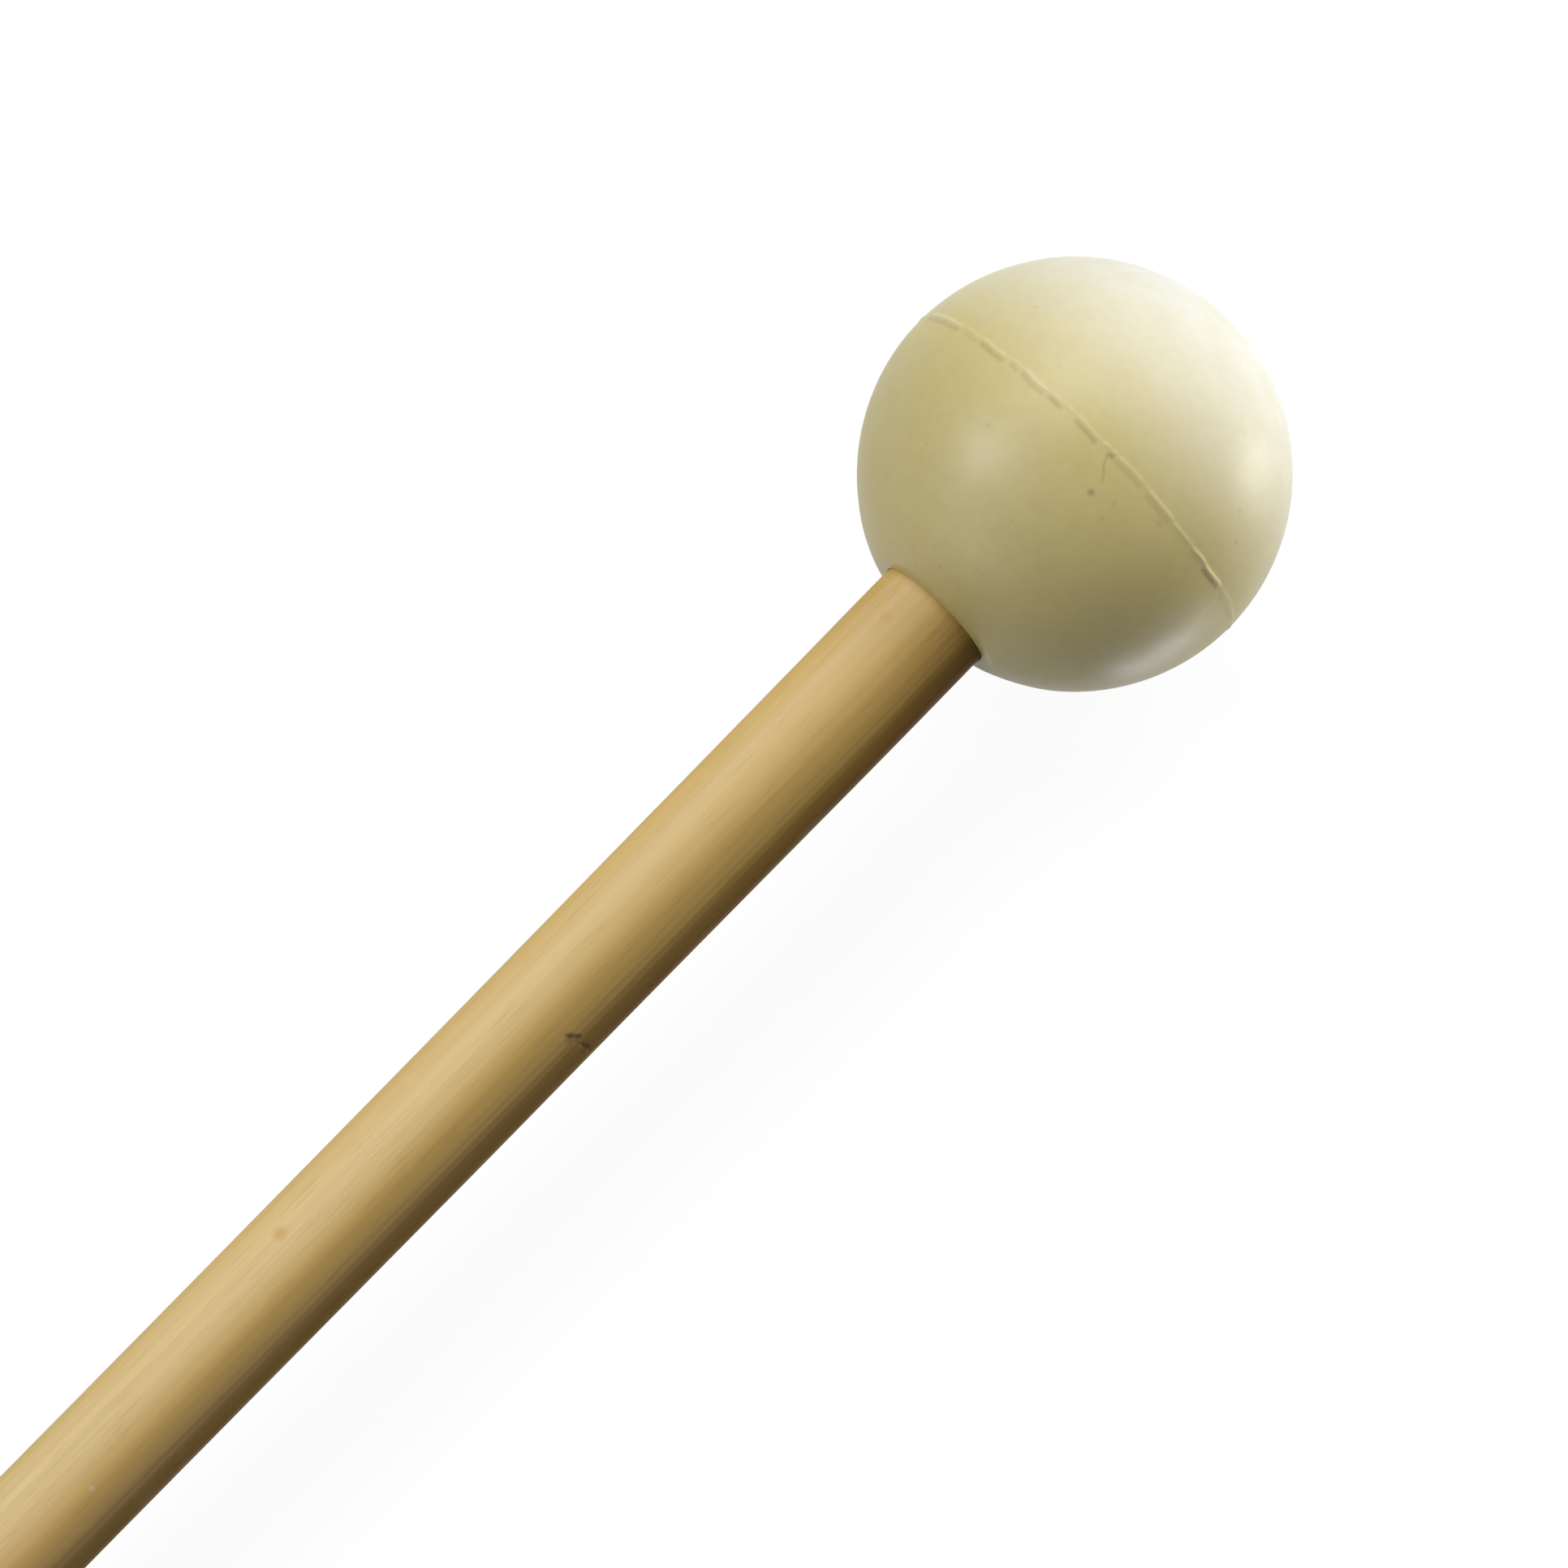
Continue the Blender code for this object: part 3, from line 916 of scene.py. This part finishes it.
def build_floor():
    half = FLOOR_HALF_WIDTH
    mesh = bpy.data.meshes.new("studio_floor")
    corners = [(-half, -half, 0), (half, -half, 0), (half, half, 0), (-half, half, 0)]
    mesh.from_pydata(corners, [], [(0, 1, 2, 3)])
    floor = bpy.data.objects.new("studio_floor", mesh)
    floor.data.materials.append(floor_material())
    bpy.context.scene.collection.objects.link(floor)


def build_world():
    """A white world that lights the piece only weakly."""
    world = bpy.data.worlds.new("studio")
    world.use_nodes = True
    bpy.context.scene.world = world
    tree = world.node_tree
    tree.nodes.clear()
    soft = add(tree, "Background", None, {"Color": WHITE, "Strength": WORLD_STRENGTH})
    white = add(tree, "Background", None, {"Color": WHITE, "Strength": 1.0})
    both = mixed_shader(tree, seen_directly(tree), soft, white)
    add(tree, "OutputWorld", None, {"Surface": both.outputs[0]})


# Each lamp: name, azimuth, elevation, distance, width, height, power in watts, colour. The close ones
# are small and weak, and fill the ball's right side as the camera sees it.
COOL = (0.96, 0.99, 1.09)
PLAIN = (1.0, 1.0, 1.0)
WARM = (1.02, 1.0, 0.96)
STRAW = (1.06, 1.0, 0.80)
SKY = (0.96, 0.99, 1.12)
LAMPS = [
    ("head_high", 16.0, 30.0, 1.5, 1.4, 0.8, 8.1, COOL),
    ("head_low", 13.0, 8.0, 1.5, 1.5, 0.4, 13.2, COOL),
    ("left_high", 95.0, 58.0, 1.5, 0.6, 0.6, 1.0, PLAIN),
    ("left", 80.0, 30.0, 1.5, 0.5, 0.5, 0.8, PLAIN),
    ("top", 64.0, 62.0, 1.5, 0.8, 0.8, 8.5, PLAIN),
    ("right_high", -58.0, 50.0, 1.5, 0.9, 0.9, 0.5, PLAIN),
    ("glint", 137.0, 42.0, 1.5, 0.48, 0.44, 8.1, SKY),
    ("tail_low", 170.0, 10.0, 1.5, 1.2, 0.45, 3.1, WARM),
    ("close_right", -31.0, 22.0, 0.10, 0.08, 0.08, 0.034, COOL),
    ("close_low", -44.0, -5.0, 0.050, 0.016, 0.016, 0.0046, PLAIN),
    ("close_front", -55.0, 32.0, 0.060, 0.034, 0.034, 0.0058, STRAW),
]

# Fill lamps that leave no highlight of their own.
UNSEEN_IN_GLOSS = {"head_high", "head_low", "close_right", "close_front"}

# A narrow strip lamp just over the floor, which the ball's lower right side shows as a soft crescent.
# Its place and its aim are measured from the ball's centre.
CRESCENT_PLACE = Vector((-6.6, -22.5, -11.3)) * MM
CRESCENT_AIM = Vector((-5.5, -12.7, 2.0)) * MM
CRESCENT_ALONG = Vector((13, -15, 0))
CRESCENT_WIDTH = 18 * MM
CRESCENT_HEIGHT = 4 * MM
CRESCENT_SPREAD = math.radians(50)
CRESCENT_POWER = 0.00009

# The camera, with the place of the ball's centre in its view.
CAMERA_DISTANCE = 1.0
CAMERA_HEADING = math.radians(46.426)
CAMERA_ELEVATION = math.radians(73.207)
CAMERA_LENS = 357.1
CAMERA_RANGE = (0.05, 50)
BALL_RIGHT_OF_VIEW = 18.688 * MM
BALL_ABOVE_VIEW = 19.925 * MM


def lamp_object(name, power, colour, back, along, place, width, height):
    """A flat lamp at a place measured from the ball's centre, with its width along a direction.

    It shines against its back direction.
    """
    lamp = bpy.data.lights.new(name, "AREA")
    lamp.energy = power
    lamp.color = colour
    lamp.shape = "RECTANGLE"
    lamp.size = width
    lamp.size_y = height
    side = along - along.project(back)
    turn = Matrix((side.normalized(), back.cross(side).normalized(), back.normalized())).transposed()
    stand = bpy.data.objects.new(name, lamp)
    stand.matrix_world = Matrix.Translation(PLACE.translation + place) @ turn.to_4x4()
    stand.visible_camera = False
    stand.visible_glossy = name not in UNSEEN_IN_GLOSS
    bpy.context.scene.collection.objects.link(stand)
    return lamp


def build_lamp(name, azimuth, elevation, distance, width, height, power, colour):
    """A soft lamp that faces the ball. Azimuth 0 stands along +X."""
    azimuth = math.radians(azimuth)
    elevation = math.radians(elevation)
    flat = math.cos(elevation)
    away = Vector((flat * math.cos(azimuth), flat * math.sin(azimuth), math.sin(elevation)))
    level = Vector((-math.sin(azimuth), math.cos(azimuth), 0))
    lamp_object(name, power, colour, away, level, away * distance, width, height)


def build_crescent_lamp():
    back = CRESCENT_PLACE - CRESCENT_AIM
    lamp = lamp_object("crescent", CRESCENT_POWER, COOL, back, CRESCENT_ALONG, CRESCENT_PLACE,
                       CRESCENT_WIDTH, CRESCENT_HEIGHT)
    lamp.spread = CRESCENT_SPREAD


def build_camera():
    sine = math.sin(CAMERA_ELEVATION)
    cosine = math.cos(CAMERA_ELEVATION)
    right = Vector((math.cos(CAMERA_HEADING), -math.sin(CAMERA_HEADING), 0))
    ahead = Vector((math.sin(CAMERA_HEADING), math.cos(CAMERA_HEADING), 0))
    above = ahead * sine + Vector((0, 0, cosine))
    back = -ahead * cosine + Vector((0, 0, sine))
    target = PLACE.translation - right * BALL_RIGHT_OF_VIEW - above * BALL_ABOVE_VIEW
    lens = bpy.data.cameras.new("camera")
    lens.lens = CAMERA_LENS
    lens.clip_start, lens.clip_end = CAMERA_RANGE
    camera = bpy.data.objects.new("camera", lens)
    turn = Matrix((right, above, back)).transposed()
    camera.matrix_world = Matrix.Translation(target + back * CAMERA_DISTANCE) @ turn.to_4x4()
    bpy.context.scene.collection.objects.link(camera)
    bpy.context.scene.camera = camera


def dress(piece, material, node):
    """Puts a piece with its material in the place of a CAD node."""
    piece.data.materials.append(material)
    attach(piece, "root")
    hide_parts(node)


dress(build_ball(), rubber_material(), "head")
dress(build_dowel(), wood_material(), "shaft")
dress(build_glue(), glue_material(), "glue_bond")
build_floor()
build_world()
for lamp in LAMPS:
    build_lamp(*lamp)
build_crescent_lamp()
build_camera()
bpy.context.scene.view_settings.view_transform = "Standard"
